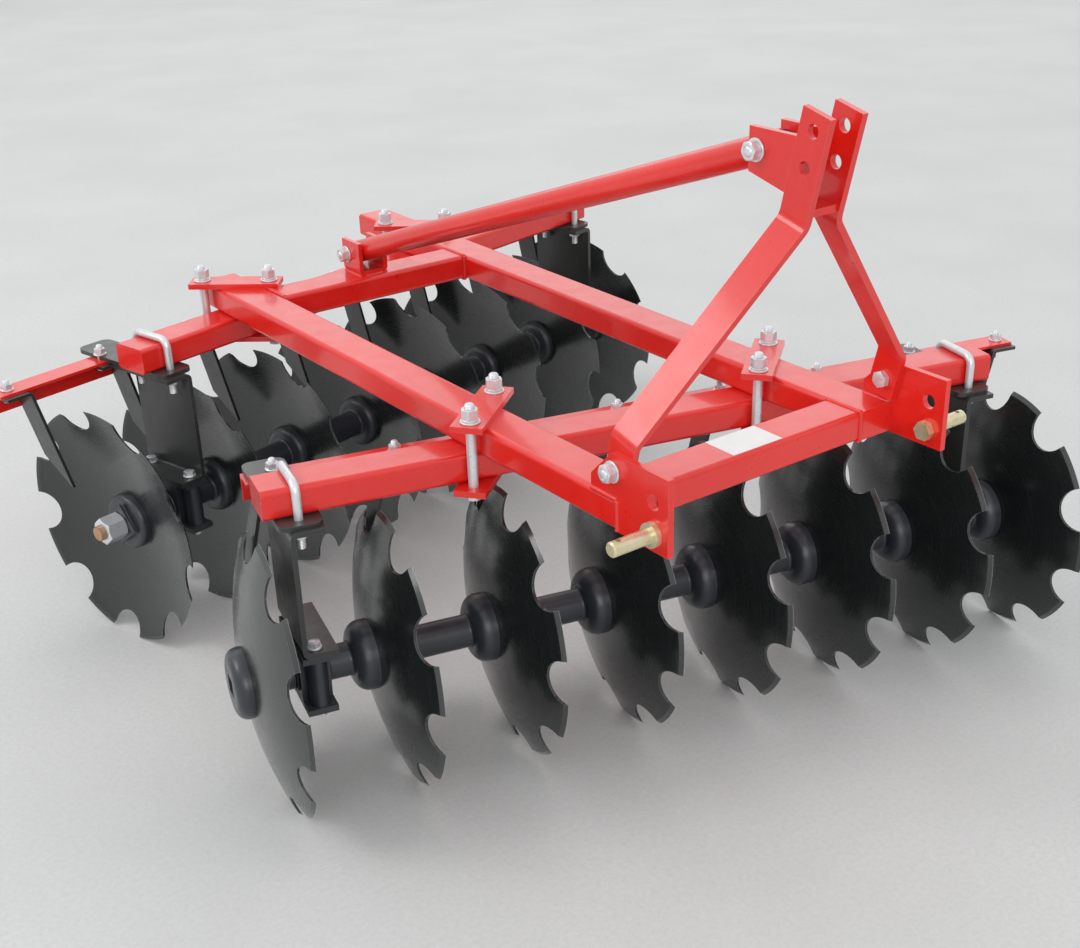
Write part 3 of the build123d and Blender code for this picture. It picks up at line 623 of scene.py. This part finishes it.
def red_paint():
    """Thick gloss enamel: faint runs, dust on top, thin lighter edges and a few chips."""
    n = Nodes("red_gloss_paint")
    deep, bright, warm = rgb(0.70, 0.008, 0.004), rgb(0.80, 0.014, 0.007), rgb(0.84, 0.028, 0.015)
    dusty, thin, chipped = rgb(0.82, 0.45, 0.42), rgb(0.86, 0.12, 0.10), rgb(0.34, 0.12, 0.10)
    color = n.mix(n.span(n.noise(2.4, 4), 0.35, 0.65), deep, bright)
    color = n.mix(n.span(n.noise(60, 3), 0.45, 0.75, 0, 0.25), color, warm)
    dust = n.dust(n.noise(9, 5, 0.65), 0.42, 0.72, 0.01, 0.11)
    color = n.mix(dust, color, dusty)
    edge = n.edges(1.6 * MM)
    color = n.mix(n.math("MULTIPLY", edge, 0.45), color, thin)
    chips = n.math("MULTIPLY", edge, n.span(n.noise(85, 4, 0.7), 0.71, 0.74))
    color = n.mix(chips, color, chipped)
    rough = n.roughness(0.26, 0.40, 26, 4, 0.6)
    rough = n.math("ADD", rough, n.math("MULTIPLY", dust, 0.8), clamp=True)
    peel = n.bump(n.noise(420, 2), 0.05 * MM, 0.5)
    waves = n.bump(n.noise(14, 2), 0.5 * MM, 0.35, peel)
    return n.surface(color, rough, waves, Coat_Weight=0.6, Coat_Roughness=0.09)


def black_paint():
    """Satin black enamel on flat steel, scuffed where it was handled."""
    n = Nodes("black_satin_paint")
    dark, light = rgb(0.016, 0.018, 0.016), rgb(0.030, 0.033, 0.030)
    scuffed, dusty, worn = rgb(0.08, 0.085, 0.08), rgb(0.28, 0.28, 0.29), rgb(0.16, 0.165, 0.17)
    color = n.mix(n.noise(6, 4), dark, light)
    scuffs = n.noise(1, 5, 0.6, n.stretch((30, 30, 170)))
    color = n.mix(n.span(scuffs, 0.60, 0.78, 0, 0.35), color, scuffed)
    color = n.mix(n.dust(n.noise(14, 4), 0.35, 0.75, 0.02, 0.12), color, dusty)
    edge = n.edges(1.2 * MM)
    color = n.mix(n.math("MULTIPLY", edge, 0.5), color, worn)
    peel = n.bump(n.noise(300, 3), 0.08 * MM, 0.5)
    rough = n.roughness(0.30, 0.44, 40)
    return n.surface(color, rough, peel, Coat_Weight=0.3, Coat_Roughness=0.2)


def disc_steel(gang):
    """Pressed disc in thin black paint, with faint turning rings and a painted highlight on its
    cut edges.
    """
    n = Nodes("disc_black_paint_" + gang.name)
    dark, light = rgb(0.007, 0.009, 0.009), rgb(0.015, 0.018, 0.018)
    ringed, smeared = rgb(0.036, 0.041, 0.040), rgb(0.055, 0.060, 0.059)
    ground, painted_edge_highlight = rgb(0.10, 0.105, 0.10), rgb(0.50, 0.51, 0.51)
    radius = n.from_axle(gang)
    turned = n.rings(radius, 170)
    color = n.mix(n.noise(5, 4), dark, light)
    color = n.mix(n.span(turned, 0.52, 0.75, 0, 0.25), color, ringed)
    color = n.mix(n.span(n.noise(11, 6, 0.7), 0.62, 0.75, 0, 0.12), color, smeared)
    rim = n.span(radius, rim_start, rim_start + rim_fade, 0, 0.25)
    color = n.mix(rim, color, ground)
    # Cut edges lightened toward a pale grey: a painted highlight for the light that the painted
    # edges catch
    edge = n.edges(0.5 * MM)
    color = n.mix(n.math("MULTIPLY", edge, 0.85), color, painted_edge_highlight)
    rough = n.roughness(0.20, 0.30, 18, 4)
    rough = n.math("ADD", rough, n.span(turned, 0.3, 0.7, -0.03, 0.05))
    waves = n.bump(n.noise(9, 3), 1.2 * MM, 0.25)
    grooves = n.bump(turned, 0.05 * MM, 0.12, waves)
    grain = n.bump(n.noise(160, 3), 0.06 * MM, 0.25, grooves)
    return n.surface(color, rough, grain, Coat_Weight=0.45, Coat_Roughness=0.16)


def cast_iron():
    """Sand-cast iron under black paint: a fine grain with soft dents."""
    n = Nodes("cast_black_paint")
    dark, light = rgb(0.018, 0.022, 0.028), rgb(0.036, 0.041, 0.050)
    worn, dusty = rgb(0.15, 0.16, 0.17), rgb(0.26, 0.26, 0.26)
    color = n.mix(n.noise(12, 4), dark, light)
    edge = n.edges(1.6 * MM)
    color = n.mix(n.math("MULTIPLY", edge, 0.4), color, worn)
    color = n.mix(n.dust(n.noise(20, 4), 0.4, 0.7, 0, 0.14), color, dusty)
    grain = n.bump(n.noise(380, 4, 0.7), 0.25 * MM, 0.6)
    dents = n.bump(n.noise(45, 3), 0.8 * MM, 0.3, grain)
    rough = n.roughness(0.28, 0.42, 50)
    return n.surface(color, rough, dents, Coat_Weight=0.2, Coat_Roughness=0.3)


def zinc_plate():
    """Bright zinc plating, cloudy, with small dull spots."""
    n = Nodes("zinc_plating")
    cloudy, bright, dull = rgb(0.66, 0.68, 0.71), rgb(0.86, 0.87, 0.89), rgb(0.52, 0.52, 0.53)
    color = n.mix(n.noise(70, 4), cloudy, bright)
    color = n.mix(n.span(n.noise(240, 4, 0.7), 0.62, 0.70, 0, 0.5), color, dull)
    grain = n.bump(n.noise(600, 3), 0.05 * MM, 0.5)
    return n.surface(color, n.roughness(0.26, 0.46, 90, 4), grain, Metallic=0.6)


def yellow_zinc_plate():
    """Yellow chromate over zinc, with green and pink tints."""
    n = Nodes("yellow_zinc_plating")
    green, yellow, pink = rgb(0.68, 0.60, 0.34), rgb(0.78, 0.74, 0.52), rgb(0.72, 0.56, 0.42)
    color = n.mix(n.span(n.noise(40, 3), 0.3, 0.7), green, yellow)
    color = n.mix(n.span(n.noise(28, 4), 0.55, 0.75, 0, 0.6), color, pink)
    grain = n.bump(n.noise(500, 3), 0.05 * MM, 0.5)
    return n.surface(color, n.roughness(0.24, 0.40, 80, 4), grain, Metallic=0.65)


def axle_steel():
    """Bare rolled steel under a brown film of oil."""
    n = Nodes("axle_bare_steel")
    dark, light, brown = rgb(0.17, 0.15, 0.13), rgb(0.30, 0.27, 0.24), rgb(0.22, 0.12, 0.07)
    color = n.mix(n.noise(60, 4), dark, light)
    color = n.mix(n.span(n.noise(130, 4, 0.7), 0.55, 0.72, 0, 0.6), color, brown)
    grain = n.bump(n.noise(420, 3), 0.08 * MM, 0.5)
    return n.surface(color, n.roughness(0.34, 0.52, 90), grain, Metallic=0.8)


def copper_grease():
    """Threaded end dipped in copper-coloured rust guard."""
    n = Nodes("copper_coloured_guard")
    color = n.mix(n.noise(120, 4), rgb(0.42, 0.23, 0.12), rgb(0.62, 0.38, 0.22))
    grain = n.bump(n.noise(500, 3), 0.1 * MM, 0.6)
    return n.surface(color, n.roughness(0.36, 0.55, 150), grain, Metallic=0.6)


def label_film():
    """Blank film: off-white and slightly dirty."""
    n = Nodes("blank_label_film")
    dull, clean, dirty = rgb(0.72, 0.74, 0.72), rgb(0.84, 0.85, 0.83), rgb(0.52, 0.50, 0.47)
    color = n.mix(n.noise(35, 4), dull, clean)
    color = n.mix(n.span(n.noise(120, 5, 0.7), 0.60, 0.72, 0, 0.35), color, dirty)
    film = n.bump(n.noise(90, 3), 0.15 * MM, 0.5)
    return n.surface(color, n.roughness(0.30, 0.45, 60), film, Coat_Weight=0.3)


def pale_concrete():
    """Plain pale floor with faint clouds and specks."""
    n = Nodes("pale_concrete")
    dull, pale, speck = rgb(0.64, 0.64, 0.63), rgb(0.69, 0.69, 0.68), rgb(0.56, 0.56, 0.54)
    color = n.mix(n.span(n.noise(1.6, 5), 0.35, 0.65), dull, pale)
    color = n.mix(n.span(n.noise(110, 5, 0.75), 0.40, 0.66, 0, 0.55), color, speck)
    grain = n.bump(n.noise(90, 5, 0.7), 0.8 * MM, 0.4)
    return n.surface(color, 0.85, grain)


def shared_materials():
    """Finishes by name."""
    return {
        "red_paint": red_paint(),
        "black_paint": black_paint(),
        "disc_front": disc_steel(gangs[0]),
        "disc_rear": disc_steel(gangs[1]),
        "cast_black": cast_iron(),
        "zinc": zinc_plate(),
        "yellow_zinc": yellow_zinc_plate(),
        "axle_steel": axle_steel(),
    }


finishes = shared_materials()

# Which finish each CAD node gets, by the start of its name
finish_of = {
    "frame_": "red_paint",
    "tube_end_caps": "red_paint",
    "hitch_plate": "red_paint",
    "lower_link_pin": "yellow_zinc",
    "mast_b": "red_paint",
    "mast_spacer": "red_paint",
    "mast_bolts": "zinc",
    "brace_": "red_paint",
    "gang_beam": "red_paint",
    "clamp_plates": "red_paint",
    "clamp_bolts": "zinc",
    "hangers": "black_paint",
    "hanger_u_bolts": "zinc",
    "bearings": "cast_black",
    "bearing_bolts": "zinc",
    "scraper_arms": "black_paint",
    "scraper_bar": "red_paint",
    "scrapers": "black_paint",
    "disc_front": "disc_front",
    "disc_rear": "disc_rear",
    "spools": "cast_black",
    "axle_": "axle_steel",
    "end_bell": "cast_black",
    "end_washer": "cast_black",
    "end_nut": "zinc",
}


def dress_cad_nodes():
    """Gives each CAD node the finish that the longest matching start of its name asks for."""
    for name, node in frame["nodes"].items():
        start = max((s for s in finish_of if name.startswith(s)), key=len)
        material = finishes[finish_of[start]]
        if node.material_slots:
            for slot in node.material_slots:
                slot.material = material
        else:
            node.data.materials.append(material)


# Fasteners


def bolt_end(mesh, place, direction, thread, out, nut=nut_height, with_washer=True, spring=0.0):
    """Washer, spring ring, nut and the thread that shows past it, from a seat outward."""
    at = facing_frame(place, direction, any_turn())
    height = 0.0
    if with_washer:
        washer(mesh, at, thread)
        height += washer_thickness
    if spring:
        washer(mesh, lifted(at, height), thread, spring_outer, spring)
        height += spring
    hexagon_block(mesh, lifted(at, height), head_flats * thread, nut * thread, bore=thread / 2)
    height += nut * thread
    lathe(mesh, at, thread_profile(thread / 2, thread_start, height + out))


def bolt_head(mesh, place, direction, thread, with_washer=False):
    """Hexagon head on a seat, with a washer under it or without."""
    at = facing_frame(place, direction, any_turn())
    if with_washer:
        washer(mesh, at, thread)
        at = lifted(at, washer_thickness)
    hexagon_block(mesh, at, head_flats * thread, head_height * thread, both_ends=False)


def shank(mesh, start, end, thread):
    """Plain round bolt between two points."""
    at = facing_frame(start, end - start)
    length = (end - start).length
    radius = thread / 2
    inner = radius - shank_bevel
    profile = [(inner, 0), (radius, shank_bevel), (radius, length - shank_bevel), (inner, length)]
    lathe(mesh, at, profile, small_segments)


def make_clamp_bolts():
    """Long bolts up through both clamp plates, beside the rails and beams."""
    mesh = bmesh.new()
    plates_low, plates_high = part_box("clamp_plates")
    for low, high in solids("clamp_bolts"):
        middle = (low + high) / 2
        under = Vector((middle.x, middle.y, plates_low.z))
        seat = Vector((middle.x, middle.y, plates_high.z))
        shank(mesh, under, seat + UP * clamp_shank_overlap, clamp_thread)
        bolt_end(
            mesh, seat, UP, clamp_thread, clamp_thread_end,
            nut=clamp_nut_height, spring=clamp_spring,
        )
        bolt_head(mesh, under, -UP, clamp_thread)
    piece("clamp_bolt_set", mesh, "frame", finishes["zinc"], replaced=["clamp_bolts"])


def make_mast_bolts():
    """Foot and brace bolts: head on one side, washer and nut on the other."""
    mesh = bmesh.new()
    for low, high in solids("mast_bolts"):
        middle = (low + high) / 2
        head = nut_height * mast_thread
        end = head * (1 + thread_end)
        toward = 1 if middle.x > frame_middle + nuts_left_from else -1
        nut_x = high.x - end if toward > 0 else low.x + end
        head_x = low.x + head if toward > 0 else high.x - head
        nut_seat = Vector((nut_x, middle.y, middle.z))
        head_seat = Vector((head_x, middle.y, middle.z))
        out = end - head - washer_thickness
        shank(mesh, head_seat, nut_seat, mast_thread)
        bolt_end(mesh, nut_seat, SIDEWAYS * toward, mast_thread, out)
        bolt_head(mesh, head_seat, -SIDEWAYS * toward, mast_thread)
    piece("mast_bolt_set", mesh, "frame", finishes["zinc"], replaced=["mast_bolts"])


def u_path(gang, place, low, high):
    """Points of a U standing on its legs, from one leg's end over to the other's."""
    leg = [low + u_bolt_thread_length * i / u_bolt_thread_rows for i in range(u_bolt_thread_rows)]
    leg += [low + u_bolt_thread_length + u_bolt_run_out, (low + high) / 2]
    half = [(-u_bolt_half, z) for z in leg]
    for i in range(u_bolt_bend_steps + 1):
        turn = pi - i * pi / 2 / u_bolt_bend_steps
        across = u_bolt_bend - u_bolt_half + u_bolt_bend * cos(turn)
        half.append((across, high - u_bolt_bend + u_bolt_bend * sin(turn)))
    other_half = [(-across, z) for across, z in reversed(half)]
    a, b = gang.local(place)[:2]
    return [gang.point(a, b + across, z) for across, z in half + other_half]


def make_u_bolts():
    """U-bolts over the gang beams, with washers and nuts under the hangers' flanges."""
    mesh = bmesh.new()
    radius = u_bolt_thread / 2
    rows = u_bolt_thread_rows
    for low, high in solids("hanger_u_bolts"):
        middle = (low + high) / 2
        gang = min(gangs, key=lambda g: abs(g.local(middle)[1]))
        path = u_path(gang, middle, low.z, high.z - radius)
        radii = []
        for i in range(len(path)):
            threaded = i < rows or i >= len(path) - rows
            radii.append(radius - (thread_depth if threaded and i % 2 == 0 else 0))
        sweep(mesh, path, gang.along, radii)
        a = gang.local(middle)[0]
        for side in (-1, 1):
            seat = gang.point(a, side * u_bolt_half, hanger_seat)
            at = facing_frame(seat, -UP, any_turn())
            washer(mesh, at, u_bolt_thread, thickness=u_bolt_washer)
            at = lifted(at, u_bolt_washer)
            flats = head_flats * u_bolt_thread
            hexagon_block(mesh, at, flats, nut_height * u_bolt_thread, radius)
    piece("u_bolt_set", mesh, "frame", finishes["zinc"], replaced=["hanger_u_bolts"])


def make_bearing_bolts():
    """Heads and washers on the hangers' feet, nuts under the bearings."""
    mesh = bmesh.new()
    thread = bearing_thread
    nut = nut_height * thread
    out = thread_end * nut
    for low, high in solids("bearing_bolts"):
        x, y = (low.x + high.x) / 2, (low.y + high.y) / 2
        head_seat = Vector((x, y, high.z - nut))
        nut_seat = Vector((x, y, low.z + nut + out))
        shank(mesh, nut_seat, head_seat, thread)
        bolt_head(mesh, head_seat, UP, thread, with_washer=True)
        bolt_end(mesh, nut_seat, -UP, thread, out, with_washer=False)
    piece("bearing_bolt_set", mesh, "frame", finishes["zinc"], replaced=["bearing_bolts"])


def make_scraper_bolts():
    """Bolts up through each scraper and its bar, some of them through an arm too."""
    mesh = bmesh.new()
    bar_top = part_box("scraper_bar_front")[1].z
    for gang in gangs:
        for hub in disc_places:
            a = hub + gang.facing * scraper_bolt_from_hub[gang.name]
            seat = gang.point(a, scraper_bolt_behind[gang.name], bar_top)
            under = seat - UP * (bar_thickness + scraper_thickness)
            if abs(abs(a) - arm_place) < arm_half_width:
                seat = seat + UP * arm_thickness
            shank(mesh, under, seat, scraper_thread)
            bolt_head(mesh, under, -UP, scraper_thread, with_washer=True)
            bolt_end(mesh, seat, UP, scraper_thread, scraper_thread_end)
    piece("scraper_bolt_set", mesh, "frame", finishes["zinc"])


def make_seal_collars():
    """Pressed rings on both sides of each bearing, round the spool's journal."""
    mesh = bmesh.new()
    for gang in gangs:
        for place in (-arm_place, arm_place):
            for side in (-1, 1):
                outward = gang.along * side
                seat = gang.point(place, 0, gang.axle.z) + outward * bearing_half_length
                at = facing_frame(seat, outward)
                lathe(mesh, at, collar_profile, fine_segments, looped=True)
    piece("seal_collars", mesh, "frame", finishes["cast_black"])


def make_axle_ends():
    """Two lock plates with a corner up, and a long nut on the axle's threaded end."""
    copper = copper_grease()
    for gang in gangs:
        outward = gang.along * gang.facing
        seat = gang.point(gang.facing * end_washer_face, 0, gang.axle.z)
        plates = bmesh.new()
        height = plate_gap
        for turn in plate_turns:
            at = facing_frame(seat + outward * height, outward, turn)
            box_plate(plates, at, (plate_size, plate_size, plate_thickness), plate_edge)
            height += plate_thickness + plate_gap
        piece("lock_plates_" + gang.name, plates, gang.body, finishes["cast_black"])
        nut = bmesh.new()
        at = facing_frame(seat + outward * height, outward, axle_nut_turn)
        bore = axle_thread_radius - axle_thread_bite
        hexagon_block(nut, at, axle_nut_flats, axle_nut_height, bore)
        piece(
            "axle_nut_" + gang.name, nut, gang.body, finishes["zinc"],
            replaced=["end_nut_" + gang.name],
        )
        thread = bmesh.new()
        at = facing_frame(seat + outward * height, outward)
        ridges = thread_profile(
            axle_thread_radius, 0, axle_thread_length, axle_thread_pitch, axle_thread_depth,
            axle_chamfer,
        )
        lathe(thread, at, ridges, axle_segments)
        piece("axle_thread_" + gang.name, thread, gang.body, copper)


def weld_cross_tubes(mesh):
    """Beads round both ends of each cross tube, on the rails' inner faces."""
    inner_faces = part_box("frame_rail_right")[1].x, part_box("frame_rail_left")[0].x
    for tube in ("frame_cross_tube_front", "frame_cross_tube_rear"):
        low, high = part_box(tube)
        corners = [(low.y, low.z), (high.y, low.z), (high.y, high.z), (low.y, high.z)]
        for x in inner_faces:
            for i, normal in enumerate((-UP, REARWARD, UP, -REARWARD)):
                weld_bead(mesh, (x, *corners[i]), (x, *corners[(i + 1) % 4]), normal)


def weld_hitch_plates(mesh):
    """Beads up the front of each hitch plate's rail, and along both sides of the plate's top."""
    for side, face, inward in (("right", 0, SIDEWAYS), ("left", 1, -SIDEWAYS)):
        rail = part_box("frame_rail_" + side)
        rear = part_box("hitch_plate_" + side)[1].y
        front, under, top = rail[0].y, rail[0].z, rail[1].z
        x = rail[face].x
        weld_bead(mesh, (x, front, under), (x, front, top), -inward)
        weld_bead(mesh, (x, front, top), (x, rear, top), -inward)
        x += inward.x * hitch_plate_thickness
        weld_bead(mesh, (x, front, top), (x, rear, top), (UP + inward).normalized())


def weld_clevis(mesh):
    """Beads along three sides of the brace clevis's foot."""
    low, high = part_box("brace_clevis")
    left, right = low.x + clevis_weld_inset, high.x - clevis_weld_inset
    for x, out in ((left, -SIDEWAYS), (right, SIDEWAYS)):
        weld_bead(mesh, (x, low.y, low.z), (x, high.y, low.z), (UP + out).normalized())
    left, right = low.x + clevis_bend, high.x - clevis_bend
    weld_bead(mesh, (left, low.y, low.z), (right, low.y, low.z), UP)


def make_welds():
    """Beads where tubes, plates and the clevis meet."""
    mesh = bmesh.new()
    weld_cross_tubes(mesh)
    weld_hitch_plates(mesh)
    weld_clevis(mesh)
    red = finishes["red_paint"]
    piece("weld_beads", mesh, "frame", red, sharp=weld_sharp_angle)


def make_label():
    """Thin blank plate on the front cross tube."""
    mesh = bmesh.new()
    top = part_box("frame_cross_tube_front")[1].z
    at = Matrix.Translation(Vector((label_middle.x, label_middle.y, top)))
    box_plate(mesh, at, (*label_size, label_thickness), label_edge)
    piece("blank_label", mesh, "frame", label_film())


# Surroundings


def make_floor():
    """Wide level floor under the object."""
    bpy.ops.mesh.primitive_plane_add(size=floor_size)
    floor = bpy.context.object
    floor.name = "floor"
    floor.data.materials.append(pale_concrete())


def make_world():
    """Even light from above that falls off toward the horizon."""
    world = bpy.data.worlds.new("soft_studio")
    bpy.context.scene.world = world
    world.use_nodes = True
    tree = world.node_tree
    tree.nodes.clear()
    output = tree.nodes.new("ShaderNodeOutputWorld")
    light = tree.nodes.new("ShaderNodeBackground")
    light.inputs["Strength"].default_value = sky_strength
    direction = tree.nodes.new("ShaderNodeTexCoord")
    parts = tree.nodes.new("ShaderNodeSeparateXYZ")
    ramp = tree.nodes.new("ShaderNodeValToRGB")
    low, high = ramp.color_ramp.elements
    low.position, low.color = 0.0, rgb(*horizon_color)
    high.position, high.color = upper_start, rgb(*upper_color)
    tree.links.new(direction.outputs["Generated"], parts.inputs[0])
    tree.links.new(parts.outputs["Z"], ramp.inputs[0])
    tree.links.new(ramp.outputs[0], light.inputs["Color"])
    tree.links.new(light.outputs[0], output.inputs["Surface"])


def make_lamp(name, place, target, size, power):
    """Rectangular soft lamp that the camera doesn't see."""
    data = bpy.data.lights.new(name, "AREA")
    data.shape = "RECTANGLE"
    data.size, data.size_y = size
    data.energy = power
    lamp = bpy.data.objects.new(name, data)
    bpy.context.scene.collection.objects.link(lamp)
    lamp.location = place
    direction = Vector(target) - Vector(place)
    lamp.rotation_mode = "QUATERNION"
    lamp.rotation_quaternion = direction.to_track_quat("-Z", "Y")
    lamp.visible_camera = False


def make_camera():
    """Camera that sees what the picture shows, with its aim point off the middle."""
    data = bpy.data.cameras.new("camera")
    data.sensor_width = sensor_width
    data.lens = focal_pixels * sensor_width / image_width
    data.shift_x = -(aim_x - image_width / 2) / image_width
    data.shift_y = (aim_y - image_height / 2) / image_width
    data.clip_end = view_distance
    camera = bpy.data.objects.new("camera", data)
    bpy.context.scene.collection.objects.link(camera)
    azimuth, elevation = radians(camera_azimuth), radians(camera_elevation)
    back = Vector((sin(azimuth) * cos(elevation), -cos(azimuth) * cos(elevation), sin(elevation)))
    level_right = Vector((cos(azimuth), sin(azimuth), 0))
    level_up = back.cross(level_right)
    roll = radians(camera_roll)
    right = level_right * cos(roll) + level_up * sin(roll)
    up = back.cross(right)
    turned = Matrix((right, up, back)).transposed().to_4x4()
    camera.matrix_world = Matrix.Translation(camera_place) @ turned
    bpy.context.scene.camera = camera


dress_cad_nodes()
make_clamp_bolts()
make_mast_bolts()
make_u_bolts()
make_bearing_bolts()
make_scraper_bolts()
make_seal_collars()
make_axle_ends()
make_welds()
make_label()
make_floor()
make_world()
for softbox in softboxes:
    make_lamp(*softbox)
make_camera()

view_settings = bpy.context.scene.view_settings
view_settings.view_transform = "Standard"
